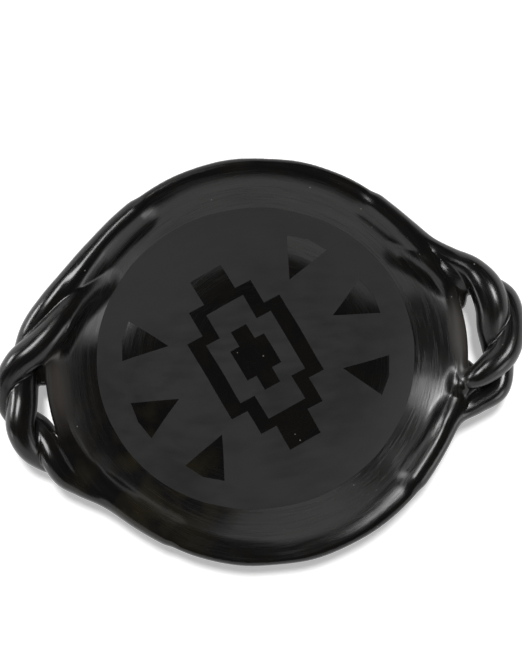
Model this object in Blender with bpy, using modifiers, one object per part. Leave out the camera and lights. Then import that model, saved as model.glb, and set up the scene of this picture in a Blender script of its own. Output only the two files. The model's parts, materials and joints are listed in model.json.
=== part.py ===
"""A round blackware bowl with two rope handles, made the way a potter builds it up.

A pinched base dish carries three wall coils and a thicker rim coil, and each handle is
two hand-rolled strands of clay twisted together and pressed onto the rim. The bowl
stands on its foot at z = 0, with its axis on Z and its handles along X. Each piece
keeps the joint gap to the next, so that it stays a solid of its own.
"""
import math

import bmesh
import bpy
import numpy as np

# Driving dimensions, in metres
BOWL_RADIUS = 0.113
BOWL_HEIGHT = 0.048
FOOT_RADIUS = 0.037
FLOOR_THICKNESS = 0.0065
WALL_THICKNESS = 0.0055
LIP_THICKNESS = 0.0075
LIP_ROUND = 0.005
RIM_COIL_HEIGHT = 0.012
BASE_DISH_HEIGHT = 0.009
WALL_COILS = 3
BOWL_FULLNESS = 1.4     # power of the superellipse that the wall follows

STRAND_RADIUS = 0.008
ROPE_WINDING = 0.0068   # strand's middle line to the rope's: the strands press together
TAIL_RADIUS = 0.005
TAIL_TIP = 0.6          # share of the tail's radius left at its very end
ROPE_DROP = 0.005       # rope's middle line below the top of the rim
ROPE_TUCK = 0.014       # where the bow starts, in from the rim's edge
RIGHT_REACH = 0.0225
LEFT_REACH = 0.0230

# Where a strand's end sits: outside the lip, on top of it, or under the other strand
OUTSIDE_INSET = 0.0018
OUTSIDE_DROP = 0.005
TOP_INSET = 0.0052
TOP_LIFT = 0.0015
UNDER_INSET = 0.0085
UNDER_DROP = 0.012

# Clearances
JOINT_GAP = 0.0003

# How finely round shapes are cut
RING_STEPS = 64
WALL_POINTS = 5
DISH_POINTS = 9
LIP_POINTS = 9
ROPE_STATIONS = 34
TAIL_STATIONS = 12
TUBE_RESOLUTION = 4

# How far in from the rim's edge each seat is, and how far above the rim's top
SEATS = {
    "outside": (OUTSIDE_INSET, -OUTSIDE_DROP),
    "top": (TOP_INSET, TOP_LIFT),
    "under": (UNDER_INSET, -UNDER_DROP),
}

# Handles. Angles are in degrees about the bowl's axis, from the handle's side towards
# +Y. The bow is the stretch where the rope stands off the rim, drawn out by the reach.
# At the crossing angle the first strand lies on top of the second, and the turn angle
# holds one whole turn of the twist. A strand has its name, its phase in turns, the
# angles between which it winds, and for each end the angle and seat that it runs to.
RIGHT_HANDLE = {
    "side": 1,
    "reach": RIGHT_REACH,
    "bow_middle": 0.5,
    "bow_half": 34.5,
    "crossing": 8.0,
    "turn_angle": 31.0,
    "strands": (
        ("right_outer_strand", 0.0, (16.5, -19.0), ((38.0, "outside"), (-36.0, "outside"))),
        ("right_inner_strand", 0.5, (13.0, -9.5), ((29.0, "top"), (-18.0, "top"))),
    ),
}
LEFT_HANDLE = {
    "side": -1,
    "reach": LEFT_REACH,
    "bow_middle": -2.0,
    "bow_half": 38.5,
    "crossing": -4.6,
    "turn_angle": 29.0,
    "strands": (
        ("left_upper_strand", 0.0, (17.0, -17.0), ((46.0, "outside"), (-30.0, "under"))),
        ("left_lower_strand", 0.5, (12.0, -21.0), ((31.0, "top"), (-47.0, "outside"))),
    ),
}


def clear_scene():
    for item in list(bpy.data.objects):
        bpy.data.objects.remove(item, do_unlink=True)


def new_collection(name):
    collection = bpy.data.collections.new(name)
    bpy.context.scene.collection.children.link(collection)
    return collection


def clay(name, colour, roughness):
    """A fired clay: near black, unmetallic, and glossier where it was burnished."""
    material = bpy.data.materials.new(name)
    material.use_nodes = True
    shader = material.node_tree.nodes["Principled BSDF"]
    shader.inputs["Base Color"].default_value = (*colour, 1.0)
    shader.inputs["Metallic"].default_value = 0.0
    shader.inputs["Roughness"].default_value = roughness
    return material


def smooth_step(share):
    share = np.clip(share, 0.0, 1.0)
    return share * share * (3.0 - 2.0 * share)


def wall_curve(angle, foot, radius, low, high):
    """Superellipse from the foot to an upright wall, for an angle of 0 to 90 degrees."""
    power = 2.0 / BOWL_FULLNESS
    across = foot + (radius - foot) * np.sin(angle) ** power
    up = low + (high - low) * (1.0 - np.cos(angle) ** power)
    return np.column_stack([across, up])


def outer_wall(angle):
    radius = BOWL_RADIUS - (LIP_THICKNESS - WALL_THICKNESS)
    return wall_curve(angle, FOOT_RADIUS, radius, 0.0, BOWL_HEIGHT)


def inner_wall(angle):
    foot = FOOT_RADIUS - WALL_THICKNESS
    return wall_curve(angle, foot, BOWL_RADIUS - LIP_THICKNESS, FLOOR_THICKNESS, BOWL_HEIGHT)


def angle_at_height(height):
    """Angle at which the outer wall reaches a height."""
    return math.acos((1.0 - height / BOWL_HEIGHT) ** (BOWL_FULLNESS / 2.0))


def joint_angles():
    """Angles of the joints between the dish, the wall coils and the rim coil."""
    top = BOWL_HEIGHT - RIM_COIL_HEIGHT
    heights = np.linspace(BASE_DISH_HEIGHT, top, WALL_COILS + 1)
    return [angle_at_height(height) for height in heights]


def run_along(curve, start, end, trim_start, trim_end, count):
    """Points of a curve between two angles, each end drawn in by a trim length."""
    angles = np.linspace(start, end, 40 * count)
    points = curve(angles)
    steps = np.linalg.norm(np.diff(points, axis=0), axis=1)
    length = np.concatenate([[0.0], np.cumsum(steps)])
    stops = np.linspace(trim_start, length[-1] - trim_end, count)
    return np.column_stack([np.interp(stops, length, points[:, axis]) for axis in (0, 1)])


def lip_outline(count):
    """The rim coil from its outer joint over its rounded top to its inner joint."""
    joint = joint_angles()[-1]
    shoulder = angle_at_height(BOWL_HEIGHT - LIP_ROUND)
    half_gap = JOINT_GAP / 2.0
    outside = run_along(outer_wall, joint, shoulder, half_gap, 0.0, count // 2)
    low = BOWL_HEIGHT - RIM_COIL_HEIGHT
    share = (outside[:, 1] - low) / (RIM_COIL_HEIGHT - LIP_ROUND)
    outside[:, 0] += (BOWL_RADIUS - outside[-1, 0]) * smooth_step(share)
    inside = run_along(inner_wall, joint, shoulder, half_gap, 0.0, count // 2)
    inside_edge = inside[-1, 0]
    middle = (BOWL_RADIUS + inside_edge) / 2.0
    half = (BOWL_RADIUS - inside_edge) / 2.0
    turn = np.linspace(0.0, math.pi, count)[1:-1]
    start = outside[-1, 1]
    end = inside[-1, 1]
    base = start + (end - start) * turn / math.pi
    over = np.column_stack([
        middle + half * np.cos(turn),
        base + (BOWL_HEIGHT - base) * np.sin(turn),
    ])
    return outside, over, inside[::-1]


def grown(points, amount):
    """An open outline moved square to itself, to its right as it is followed."""
    along = np.gradient(points, axis=0)
    along /= np.linalg.norm(along, axis=1)[:, None]
    square = np.column_stack([along[:, 1], -along[:, 0]])
    return points + amount * square


def turned(name, outline, closed, collection, material):
    """A ring or dish: an outline at +X, swept once round the Z axis."""
    mesh = bpy.data.meshes.new(name)
    points = [(across, 0.0, up) for across, up in outline]
    edges = [(index, index + 1) for index in range(len(points) - 1)]
    if closed:
        edges.append((len(points) - 1, 0))
    mesh.from_pydata(points, edges, [])
    item = bpy.data.objects.new(name, mesh)
    collection.objects.link(item)
    screw = item.modifiers.new("sweep", "SCREW")
    screw.axis = "Z"
    screw.steps = RING_STEPS
    screw.render_steps = RING_STEPS
    screw.use_merge_vertices = True
    screw.merge_threshold = 0.00001
    screw.use_smooth_shade = True
    if material:
        mesh.materials.append(material)
    return item


def base_dish(collection, material):
    joint = joint_angles()[0]
    half_gap = JOINT_GAP / 2.0
    inside = run_along(inner_wall, 0.0, joint, 0.0, half_gap, DISH_POINTS)
    outside = run_along(outer_wall, 0.0, joint, 0.0, half_gap, DISH_POINTS)
    outline = [(0.0, FLOOR_THICKNESS), *inside, *outside[::-1], (0.0, 0.0)]
    return turned("base_dish", outline, False, collection, material)


def wall_coil(number, collection, material):
    start, end = joint_angles()[number - 1:number + 1]
    half_gap = JOINT_GAP / 2.0
    inside = run_along(inner_wall, start, end, half_gap, half_gap, WALL_POINTS)
    outside = run_along(outer_wall, start, end, half_gap, half_gap, WALL_POINTS)
    outline = [*inside, *outside[::-1]]
    return turned(f"wall_coil_{number}", outline, True, collection, material)


def rim_coil(collection, material):
    outside, over, inside = lip_outline(LIP_POINTS)
    outline = [*outside, *over, *inside][::-1]
    return turned("rim_coil", outline, True, collection, material)


def rim_cutter(collection):
    """The bowl's upper body, filled and larger by the joint gap: the strands' seat."""
    outside, over, _inside = lip_outline(LIP_POINTS)
    crest = over[: LIP_POINTS // 2]
    wall = run_along(outer_wall, joint_angles()[0], joint_angles()[-1], 0.0, 0.0, WALL_POINTS)
    side = grown(np.vstack([wall[:-1], outside, crest]), JOINT_GAP)
    side[-1, 1] = BOWL_HEIGHT + JOINT_GAP
    outline = [(0.0, side[-1, 1]), *side[::-1], (0.0, side[0, 1])]
    item = turned("rim_cutter", outline, False, collection, None)
    return as_mesh(item, collection)


def bow(angle, handle):
    """Plan of the rope's middle line: the rim circle drawn out towards the handle's crest."""
    share = np.clip((angle - handle["bow_middle"]) / handle["bow_half"], -1.0, 1.0)
    tucked = BOWL_RADIUS - ROPE_TUCK
    crest = BOWL_RADIUS + handle["reach"]
    radius = tucked + (crest - tucked) * np.cos(math.pi / 2.0 * share) ** 2
    turn = np.radians(angle)
    return np.column_stack([radius * np.cos(turn), radius * np.sin(turn)])


def twist(handle, phase, span):
    """A strand's winding part: it circles the rope's middle line as the angle changes."""
    angle = np.linspace(span[0], span[1], ROPE_STATIONS)
    middle = bow(angle, handle)
    nudge = 0.01
    along = bow(angle + nudge, handle) - bow(angle - nudge, handle)
    along /= np.linalg.norm(along, axis=1)[:, None]
    outward = np.column_stack([along[:, 1], -along[:, 0]])
    turns = phase + 0.25 + handle["side"] * (handle["crossing"] - angle) / handle["turn_angle"]
    spin = 2.0 * math.pi * turns
    plan = middle + (ROPE_WINDING * np.cos(spin))[:, None] * outward
    up = BOWL_HEIGHT - ROPE_DROP + ROPE_WINDING * np.sin(spin)
    return np.column_stack([plan, up])


def tail(points, end_angle, seat):
    """A strand's free end: a cubic curve from the last point to its seat on the rim."""
    heading = points[-1] - points[-2]
    heading /= np.linalg.norm(heading)
    inset, lift = SEATS[seat]
    turn = math.radians(end_angle)
    radius = BOWL_RADIUS - inset
    end = np.array([radius * math.cos(turn), radius * math.sin(turn), BOWL_HEIGHT + lift])
    sense = math.copysign(1.0, end_angle)
    rim_way = sense * np.array([-math.sin(turn), math.cos(turn), 0.0])
    reach = np.linalg.norm(end - points[-1])
    leave, arrive = (0.45, 0.35) if seat == "outside" else (0.35, 0.3)
    share = np.linspace(0.0, 1.0, TAIL_STATIONS + 1)[1:, None]
    first = points[-1] + heading * reach * leave
    second = end - rim_way * reach * arrive
    rest = 1.0 - share
    return (rest ** 3 * points[-1] + 3.0 * rest ** 2 * share * first
            + 3.0 * rest * share ** 2 * second + share ** 3 * end)


def strand_path(handle, phase, span, ends):
    """Middle line of a whole strand and the clay's radius along it."""
    middle = twist(handle, phase, span)
    first = tail(middle[::-1], *ends[0])[::-1]
    last = tail(middle, *ends[1])
    share = np.linspace(0.0, 1.0, TAIL_STATIONS + 1)[1:]
    taper = STRAND_RADIUS + (TAIL_RADIUS - STRAND_RADIUS) * smooth_step(share)
    taper[-1] *= TAIL_TIP
    points = np.vstack([first, middle, last])
    points[:, 0] *= handle["side"]
    radii = np.concatenate([taper[::-1], np.full(len(middle), STRAND_RADIUS), taper])
    return points, radii


def as_mesh(item, collection):
    """Turn an object's evaluated shape into a plain closed mesh and drop the original."""
    graph = bpy.context.evaluated_depsgraph_get()
    mesh = bpy.data.meshes.new_from_object(item.evaluated_get(graph))
    name = item.name
    place = item.matrix_world.copy()
    bpy.data.objects.remove(item, do_unlink=True)
    body = bmesh.new()
    body.from_mesh(mesh)
    bmesh.ops.remove_doubles(body, verts=body.verts, dist=0.000001)
    bmesh.ops.recalc_face_normals(body, faces=body.faces)
    body.to_mesh(mesh)
    body.free()
    mesh.name = name
    result = bpy.data.objects.new(name, mesh)
    result.matrix_world = place
    collection.objects.link(result)
    return result


def tube(name, points, radii, growth, collection):
    """A round strand of clay along a path, as a closed mesh."""
    curve = bpy.data.curves.new(name, "CURVE")
    curve.dimensions = "3D"
    curve.bevel_depth = STRAND_RADIUS
    curve.bevel_resolution = TUBE_RESOLUTION
    curve.use_fill_caps = True
    line = curve.splines.new("POLY")
    line.points.add(len(points) - 1)
    for knot, point, radius in zip(line.points, points, radii):
        knot.co = (*point, 1.0)
        knot.radius = (radius + growth) / STRAND_RADIUS
    item = bpy.data.objects.new(name, curve)
    collection.objects.link(item)
    bpy.context.view_layer.update()
    return as_mesh(item, collection)


def cut(item, cutter, name):
    boolean = item.modifiers.new(name, "BOOLEAN")
    boolean.operation = "DIFFERENCE"
    boolean.solver = "EXACT"
    boolean.object = cutter
    cutter.hide_render = True
    cutter.display_type = "WIRE"


def rope_handle(handle, collection, cutters, seat, material):
    """Two strands twisted together: the second is pressed onto the first at its ends."""
    first, second = handle["strands"]
    for name, phase, span, ends in (first, second):
        strand = tube(name, *strand_path(handle, phase, span, ends), 0.0, collection)
        strand.data.materials.append(material)
        strand.data.shade_smooth()
        cut(strand, seat, "rim_saddle")
    name, phase, span, ends = first
    path = strand_path(handle, phase, span, ends)
    cut(strand, tube(f"{name}_cutter", *path, JOINT_GAP, cutters), "pressed_on")


def build():
    clear_scene()
    parts = new_collection("blackware_bowl")
    cutters = new_collection("cutters")
    base_dish(parts, clay("slip-painted clay", (0.030, 0.030, 0.031), 0.62))
    shades = (0.011, 0.010, 0.009)
    for number in range(1, WALL_COILS + 1):
        shade = shades[(number - 1) % len(shades)]
        wall_coil(number, parts, clay(f"burnished wall clay {number}", (shade,) * 3, 0.24))
    rim_coil(parts, clay("burnished rim clay", (0.008, 0.008, 0.008), 0.20))
    seat = rim_cutter(cutters)
    for handle, place in ((RIGHT_HANDLE, "right"), (LEFT_HANDLE, "left")):
        material = clay(f"burnished {place} handle clay", (0.010, 0.009, 0.008), 0.22)
        rope_handle(handle, parts, cutters, seat, material)


build()
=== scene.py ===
"""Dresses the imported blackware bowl.

The burnished clay is one continuous skin, worked out as the zero surface of a formula
and divided into a closed piece for each piece of clay. A matte slip painting lies on
the floor of the bowl, and a plain pale studio stands round it. Lengths are in metres.
"""
import functools
import json
import math

import bpy
import numpy as np
from bpy.props import FloatProperty, FloatVectorProperty, PointerProperty
from mathutils import Matrix, Vector, geometry

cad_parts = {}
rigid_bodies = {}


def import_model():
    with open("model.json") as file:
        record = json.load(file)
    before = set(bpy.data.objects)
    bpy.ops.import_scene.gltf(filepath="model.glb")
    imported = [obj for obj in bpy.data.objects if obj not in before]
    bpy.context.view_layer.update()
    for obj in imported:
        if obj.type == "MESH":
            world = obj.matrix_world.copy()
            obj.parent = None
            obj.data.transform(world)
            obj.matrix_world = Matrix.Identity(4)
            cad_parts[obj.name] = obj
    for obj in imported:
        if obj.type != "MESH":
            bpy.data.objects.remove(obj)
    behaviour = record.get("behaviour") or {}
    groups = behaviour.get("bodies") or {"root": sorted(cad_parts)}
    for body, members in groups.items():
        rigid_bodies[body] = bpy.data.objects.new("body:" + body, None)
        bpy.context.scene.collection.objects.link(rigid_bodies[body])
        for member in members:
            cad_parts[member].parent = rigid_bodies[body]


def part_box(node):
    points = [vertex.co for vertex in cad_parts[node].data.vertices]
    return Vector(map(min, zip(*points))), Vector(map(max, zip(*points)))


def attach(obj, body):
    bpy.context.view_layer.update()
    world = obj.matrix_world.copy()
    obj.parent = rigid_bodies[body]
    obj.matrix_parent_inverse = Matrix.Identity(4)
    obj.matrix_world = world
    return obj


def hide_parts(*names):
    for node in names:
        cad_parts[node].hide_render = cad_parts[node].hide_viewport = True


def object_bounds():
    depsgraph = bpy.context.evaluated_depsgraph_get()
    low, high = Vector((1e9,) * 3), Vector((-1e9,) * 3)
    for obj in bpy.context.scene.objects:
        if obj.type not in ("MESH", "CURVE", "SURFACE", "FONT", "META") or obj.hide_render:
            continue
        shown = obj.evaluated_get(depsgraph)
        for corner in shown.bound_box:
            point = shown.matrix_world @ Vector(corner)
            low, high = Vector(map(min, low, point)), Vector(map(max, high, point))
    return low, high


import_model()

bl_info = {
    "name": "Blackware Bowl",
    "version": (1, 0, 0),
    "blender": (4, 5, 0),
    "location": "View3D > Sidebar > Bowl",
    "description": "Burnished clay skin, slip painting and studio for a handled bowl",
    "category": "Object",
}

CAD_LOW, CAD_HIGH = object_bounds()
RIM_LOW, RIM_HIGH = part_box("rim_coil")
MILLIMETRE = 0.001
SEAM_DEPTH = 0.15 * MILLIMETRE

# Cells that the skin is worked out in, how many layers of them at a time, the step of the
# differences that give a slope, the distance that stands for out of reach, and the least
# that a norm or a slope may be before something is divided by it
CELL = 0.0008
SLAB = 24
CELL_CORNERS = [(i, j, k) for i in (0, 1) for j in (0, 1) for k in (0, 1)]
NUDGE = 0.1 * MILLIMETRE
FAR = 1.0
LEAST_DIVISOR = 0.05

# Joints between the potter's pieces, from the foot up, as the outer radius of each node
DISH_AND_COILS = ("base_dish", "wall_coil_1", "wall_coil_2", "wall_coil_3")
JOINT_RADII = [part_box(node)[1].x for node in DISH_AND_COILS]
RIM_NODE = "rim_coil"

# Routes of the strands: each knot is an angle in degrees about the bowl's axis, from the
# handle's side towards +Y, then how far out from the rim's edge, how far up from the top
# of the rim and the clay's radius there, in millimetres.
STRANDS = {
    "right_outer_strand": (1.0, (
        (46.0, -3.5, -5.0, 3.8), (34.0, -2.0, -5.0, 4.1), (26.5, 1.0, -4.0, 4.9),
        (21.0, 7.1, -3.0, 5.7), (16.0, 14.6, -1.0, 7.2), (11.0, 18.0, 0.0, 9.2),
        (5.5, 18.5, -0.5, 9.3), (1.0, 16.9, -4.0, 8.5), (-4.0, 17.9, -9.0, 7.6),
        (-9.0, 20.5, -11.5, 7.6), (-13.8, 19.1, -10.0, 7.5), (-18.2, 9.5, -7.5, 6.1),
        (-23.0, 0.1, -5.0, 4.6), (-32.0, -3.5, -5.0, 4.0), (-44.0, -4.0, -5.0, 3.8))),
    "right_inner_strand": (1.0, (
        (30.0, -10.5, -13.0, 3.6), (25.0, -5.0, -7.5, 5.6), (18.5, 3.6, -5.5, 7.0),
        (12.0, 15.6, -9.0, 7.4), (6.5, 26.2, -9.5, 8.4), (1.0, 27.0, -5.0, 8.2),
        (-5.0, 22.0, -0.5, 8.3), (-9.0, 12.9, 1.5, 7.6), (-12.0, 5.2, 1.0, 5.8),
        (-13.7, 1.8, -1.2, 3.8))),
    "left_upper_strand": (-1.0, (
        (58.0, -5.0, -5.0, 4.6), (45.0, -3.2, -4.5, 5.0), (32.5, 0.6, -4.0, 6.2),
        (23.0, 6.8, -4.5, 7.2), (15.0, 13.2, -8.0, 7.7), (9.0, 15.8, -11.0, 8.2),
        (3.5, 17.9, -7.5, 8.6), (-2.0, 19.6, -2.0, 8.6), (-7.5, 23.2, -0.5, 8.2),
        (-12.8, 22.6, -4.0, 7.2), (-17.0, 18.0, -10.0, 6.0), (-21.6, 8.0, -12.5, 5.4),
        (-26.0, 0.5, -13.5, 4.6))),
    "left_lower_strand": (-1.0, (
        (35.0, -12.0, -14.5, 3.4), (30.0, -8.5, -8.5, 5.0), (24.0, -4.2, -2.0, 6.2),
        (17.0, 1.8, 1.0, 7.7), (12.0, 9.0, 1.3, 8.5), (7.5, 19.5, -0.5, 8.2),
        (3.0, 26.3, -4.5, 7.3), (-1.5, 27.4, -9.0, 7.2), (-6.0, 22.3, -11.0, 8.0),
        (-9.5, 15.5, -9.5, 8.4), (-13.0, 12.7, -6.0, 8.1), (-17.5, 12.0, -3.0, 7.7),
        (-22.5, 10.8, -3.0, 7.2), (-27.0, 7.1, -4.2, 5.7), (-33.0, 1.9, -5.0, 4.5),
        (-45.0, -2.4, -5.0, 3.9), (-57.0, -3.7, -5.0, 3.8))),
}

# Where the rim flares to a handle: its middle, half the full stretch and where it ends, in
# degrees, then how far its outside and its inside go out, in millimetres
FLARES = ((0.0, 10.0, 44.0, 1.0, 6.5), (180.0, 10.0, 48.0, 4.0, 9.0))

# Clay that fills the corners between the rim and a strand, with knots as the strands have
LIP_SWELLS = (
    (1.0, ((34.0, -6.0, -8.0, 5.0), (26.0, -2.5, -8.0, 5.6), (18.0, 1.5, -8.5, 5.6),
           (12.0, 3.4, -8.0, 5.0), (9.5, 2.6, -9.5, 4.2), (7.0, -1.0, -11.0, 3.4))),
    (1.0, ((-9.0, 1.5, -11.0, 4.0), (-12.0, 6.0, -10.0, 6.0), (-17.0, 3.0, -8.5, 6.0),
           (-25.0, -3.5, -8.0, 5.0))),
    (-1.0, ((40.0, -4.0, -7.5, 5.0), (30.0, -1.5, -7.5, 6.0), (22.0, 1.5, -8.0, 6.4),
            (15.0, 4.0, -9.0, 5.6), (9.0, 6.0, -9.5, 5.0), (4.5, 7.6, -10.0, 4.2),
            (0.5, 5.0, -11.0, 3.4))),
    (-1.0, ((-14.0, 2.0, -8.5, 4.2), (-22.0, 2.0, -8.0, 5.6), (-31.0, -3.0, -8.0, 5.2),
            (-40.0, -5.0, -7.5, 4.6))),
)

# Dents of a hand-built wall: three waves, by how many go into a metre along each axis, and
# their phases. They fade out over the height of the foot's edge.
DENT_WAVES = ((21.28, 6.56, 0.0), (-7.04, 18.87, 0.0), (4.48, 4.48, 24.39))
DENT_PHASES = (0.7, 2.1, 4.0)
DENT_FADE = 0.006

# Painting: stepped diamonds one inside the other, as half widths and the heights where
# they end, and darts round them that point inward. In millimetres and degrees.
PAINTED_STEPS = (
    ((30.0, 20.0, 10.0), (26.0, 42.0, 58.0)),
    ((21.0, 12.0), (20.0, 36.0)),
    ((11.0, 5.0), (10.0, 20.0)),
)
DART_TURNS = (0.0, 38.0, 142.0, 180.0, 218.0, 322.0)
DART_BACK = 74.0
DART_BULGE = 2.0
DART_HALF_WIDTH = 12.0
DART_TIP = 50.0

# How the brush strays to the side and up: a short wave bent by a long one, and another
# short wave with its phase, in millimetres to the radian
BRUSH_WAVES = ((4.3, 15.1, 6.1, 1.3), (4.7, 13.7, 5.7, 0.4))

# Inner points keep this share of the film's grid off the painted edges. The painting is
# then let down onto the skin in a few rounds, each of no more than the step, and the
# skin's rise is taken as no less than the least one.
EDGE_ROOM = 0.45
LAYING_ROUNDS = 6
LAYING_STEP = 3.0 * MILLIMETRE
LEAST_RISE = 0.3

# Middle of the part of the wall that the smoke left browner, and how it fades out: the
# distances at which that starts and ends, and the shares at both
BROWN_PATCH = (-0.069, -0.060, 0.03)
BROWN_FADE = (0.02, 0.07, 1.0, 0.12)

# Middle of the patch on the rim behind a handle that is painted a lighter brown-grey and
# made rougher, how much shorter it is taken along each axis, how it fades out, and how much
# rougher it is
LIGHTER_RIM_MIDDLE = (0.1120, 0.001, 0.046)
LIGHTER_RIM_SHAPE = (1.0, 0.28, 0.6)
LIGHTER_RIM_FADE = (0.0025, 0.0080, 0.85, 0.0)
LIGHTER_RIM_ROUGH = 0.3

# Values of a pattern between which its mark comes in: clouds of smoke, a grain from its
# edge inward, the few grains that are pale, the marks of the burnishing stone taken
# together, and the slip's brush marks and clouds taken together, for colour and for gloss
SMOKE_EDGE = (0.42, 0.62)
GRAIN_EDGE = (0.10, 0.20)
PALE_GRAINS = (0.985, 0.99)
STONE_SPAN = (0.75, 1.3)
THIN_SPAN = (0.85, 1.25)
SLIP_SPAN = (0.8, 1.3)

# Gloss of the burnished clay and of the slip, as roughness, then the depths of the clay's
# waviness, stone strokes and scratches, and of the slip's brush marks and tooth
ROUGH_LOW, ROUGH_HIGH = 0.17, 0.33
SLIP_ROUGH = (0.72, 0.58)
WAVE_DEPTH = 0.00012
STROKE_DEPTH = 0.00003
SCRATCH_DEPTH = 0.000006
BRUSH_DEPTH = 0.00003
TOOTH_DEPTH = 0.00002

# How many of each mark go into a metre: the stone's scratches of 1.1 mm and its strokes of
# 4 mm, clouds of smoke of 17 mm, the wall's waves of 14 mm and grains of temper 2.4 mm
# apart, then the slip's brush marks of 5.6 mm, its clouds of 36 mm and its tooth of 0.4 mm.
# Real scratches and tooth are finer, and are drawn as coarse as they need to be to show.
SCRATCHES = 900.0
STROKES = 260.0
SMOKE_CLOUDS = 60.0
WALL_WAVES = 70.0
GRAINS = 420.0
BRUSH_MARKS = 180.0
SLIP_CLOUDS = 28.0
TOOTH = 2600.0

# How much slower a stroke changes along its run: along a strand, as a share, and round the
# bowl, in metres for the radian
ALONG_THE_STRAND = (0.08, 1.0, 1.0)
ROUND_THE_BOWL = 0.006

# Studio: the picture's shift from the rim's middle in pixels, its long side, half the
# floor's side and the paper's glow. The black cloth is part of a ball about the bowl, and
# its lower edge is given by headings in the picture and lifts over the floor, in degrees.
# Each softbox has its heading and lift, then width, height and level, and all stand at
# one distance. Flags keep the rim's softbox off the floor of the bowl, and the handle's
# on the right handle.
PICTURE_SHIFT = (1.5, 37.0)
PICTURE_LONG_SIDE = 652
FLOOR_HALF = 3.0
PAPER_GLOW = 0.3
CLOTH_RADIUS = 2.5
CLOTH_STEP = 4.0
CLOTH_ROWS = 24
CLOTH_EDGE = (
    (0.0, 12.0), (14.0, 14.0), (28.0, 11.0), (40.0, 10.0), (64.0, 11.0), (76.0, 15.0),
    (86.0, 25.0), (102.0, 40.0), (122.0, 36.0), (136.0, 14.0), (149.0, 10.0), (158.0, 20.0),
    (170.0, 27.0), (178.0, 9.0), (184.0, 4.0), (199.0, 4.0), (208.0, 16.0), (220.0, 36.0),
    (300.0, 40.0), (335.0, 36.0), (348.0, 14.0), (360.0, 12.0))
SOFTBOX_DISTANCE = 1.3
SOFTBOXES = (
    ("left_softbox", 165.0, 11.0, 0.32, 0.24, 18.0),
    ("left_back_softbox", 204.0, 5.0, 0.24, 0.18, 4.0),
    ("low_right_softbox", 328.0, 22.0, 0.40, 0.40, 2.5),
)
RIM_SOFTBOX = ("rim_softbox", 150.0, 53.0, 0.44, 0.38, 15.0)
HANDLE_SOFTBOX = ("handle_softbox", 18.0, 56.0, 0.40, 0.38, 18.0)


def linear(hex_colour):
    """An sRGB hex colour as linear red, green and blue."""
    parts = [int(hex_colour[i:i + 2], 16) / 255.0 for i in (1, 3, 5)]
    return [p / 12.92 if p <= 0.04045 else ((p + 0.055) / 1.055) ** 2.4 for p in parts]


def colour_value(name, description, hex_colour):
    """A colour that a user may change."""
    return FloatVectorProperty(name=name, description=description, subtype="COLOR",
                               size=3, min=0.0, max=1.0, default=linear(hex_colour))


def length_value(name, description, default):
    """A length that a user may change."""
    return FloatProperty(name=name, description=description, unit="LENGTH", default=default)


def angle_value(name, description, degrees):
    """An angle that a user may change."""
    return FloatProperty(name=name, description=description, subtype="ANGLE",
                         default=math.radians(degrees))


def plain_value(name, description, default):
    """A share or a power that a user may change."""
    return FloatProperty(name=name, description=description, default=default)


class BowlSizes(bpy.types.PropertyGroup):
    """Sizes of the turned body."""
    radius: length_value("Rim radius", "Outer radius of the lip", RIM_HIGH.y)
    height: length_value("Height", "Foot to the top of the lip", RIM_HIGH.z)
    foot: length_value("Foot radius", "Radius of the flat foot", 0.037)
    floor: length_value("Floor thickness", "Clay under the middle", 0.0065)
    wall: length_value("Wall thickness", "Clay in the wall", 0.0055)
    lip: length_value("Lip thickness", "Thickness of the rolled lip", 0.0075)
    shoulder: length_value(
        "Lip shoulder", "Height from the lip's widest place to its top", 0.005)
    lip_round: length_value("Lip rounding", "Radius with which the lip turns over", 0.0056)
    lip_slope: angle_value(
        "Slope under the lip", "Slope of the inside where it meets the lip", 40.0)
    lip_line: length_value(
        "Slope's edge", "Where that slope would reach the rim's height, in from its edge",
        0.0076)
    lip_blend: length_value(
        "Slope's blend", "Width over which the wall runs into that slope", 0.006)
    fullness: plain_value("Fullness", "Power of the superellipse of the wall", 1.4)
    margin: length_value(
        "Margin", "How far the even body stays inside the rim's radius", 0.0006)
    flare_round: length_value(
        "Flared rounding", "Radius of the lip's edge at a handle", 0.0022)
    unevenness: length_value("Unevenness", "Depth of the hand's dents", 0.00012)


class RopeSizes(bpy.types.PropertyGroup):
    """Sizes of the twisted handles."""
    smear: length_value(
        "Root smear", "Width over which a root is smeared inside the bowl", 0.011)
    seat: length_value(
        "Seat smear", "Width over which a strand is smeared outside the lip", 0.003)
    swell: length_value(
        "Swell smear", "Width over which the lip's swell runs into it", 0.004)
    press: length_value(
        "Strand press", "Width over which two strands are pressed together", 0.0012)


class PaintingSizes(bpy.types.PropertyGroup):
    """The matte slip painting on the floor of the bowl."""
    radius: length_value("Painting radius", "Edge of the painted disc", 0.089)
    squash: plain_value(
        "Painting squash", "Its width across the handles' line over its length", 0.945)
    middle: FloatVectorProperty(
        name="Painting middle", description="Middle of the painted disc", unit="LENGTH",
        size=2, default=(-0.002, 0.0015))
    turn: angle_value("Painting turn", "Turn of the figures on the floor", 22.0)
    film: length_value("Slip film", "Thickness of the painted slip", 0.00006)
    wobble: length_value("Brush wobble", "How far the painted edges stray", 0.0002)
    grid: length_value("Film grid", "Spacing of the film's inner points", 0.0025)


class ClayColours(bpy.types.PropertyGroup):
    """Colours of the fired clay and its slips."""
    black: colour_value("Burnished black", "Clay smoked black and burnished", "#0b0a0a")
    smoke: colour_value("Smoke brown", "Brown tint where the smoke was thinner", "#1d1a11")
    # Lighter brown-grey painted on the patch of rim behind each handle
    lighter_rim: colour_value(
        "Handled clay", "Clay at the slits, where the shine is worn", "#35312d")
    speck: colour_value("Speck", "Grains of pale temper in the clay", "#77716a")
    matte: colour_value("Matte slip", "Slip painted over the burnished clay", "#303030")
    patchy: colour_value("Thin slip", "Slip where the brush ran dry", "#272727")


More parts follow.
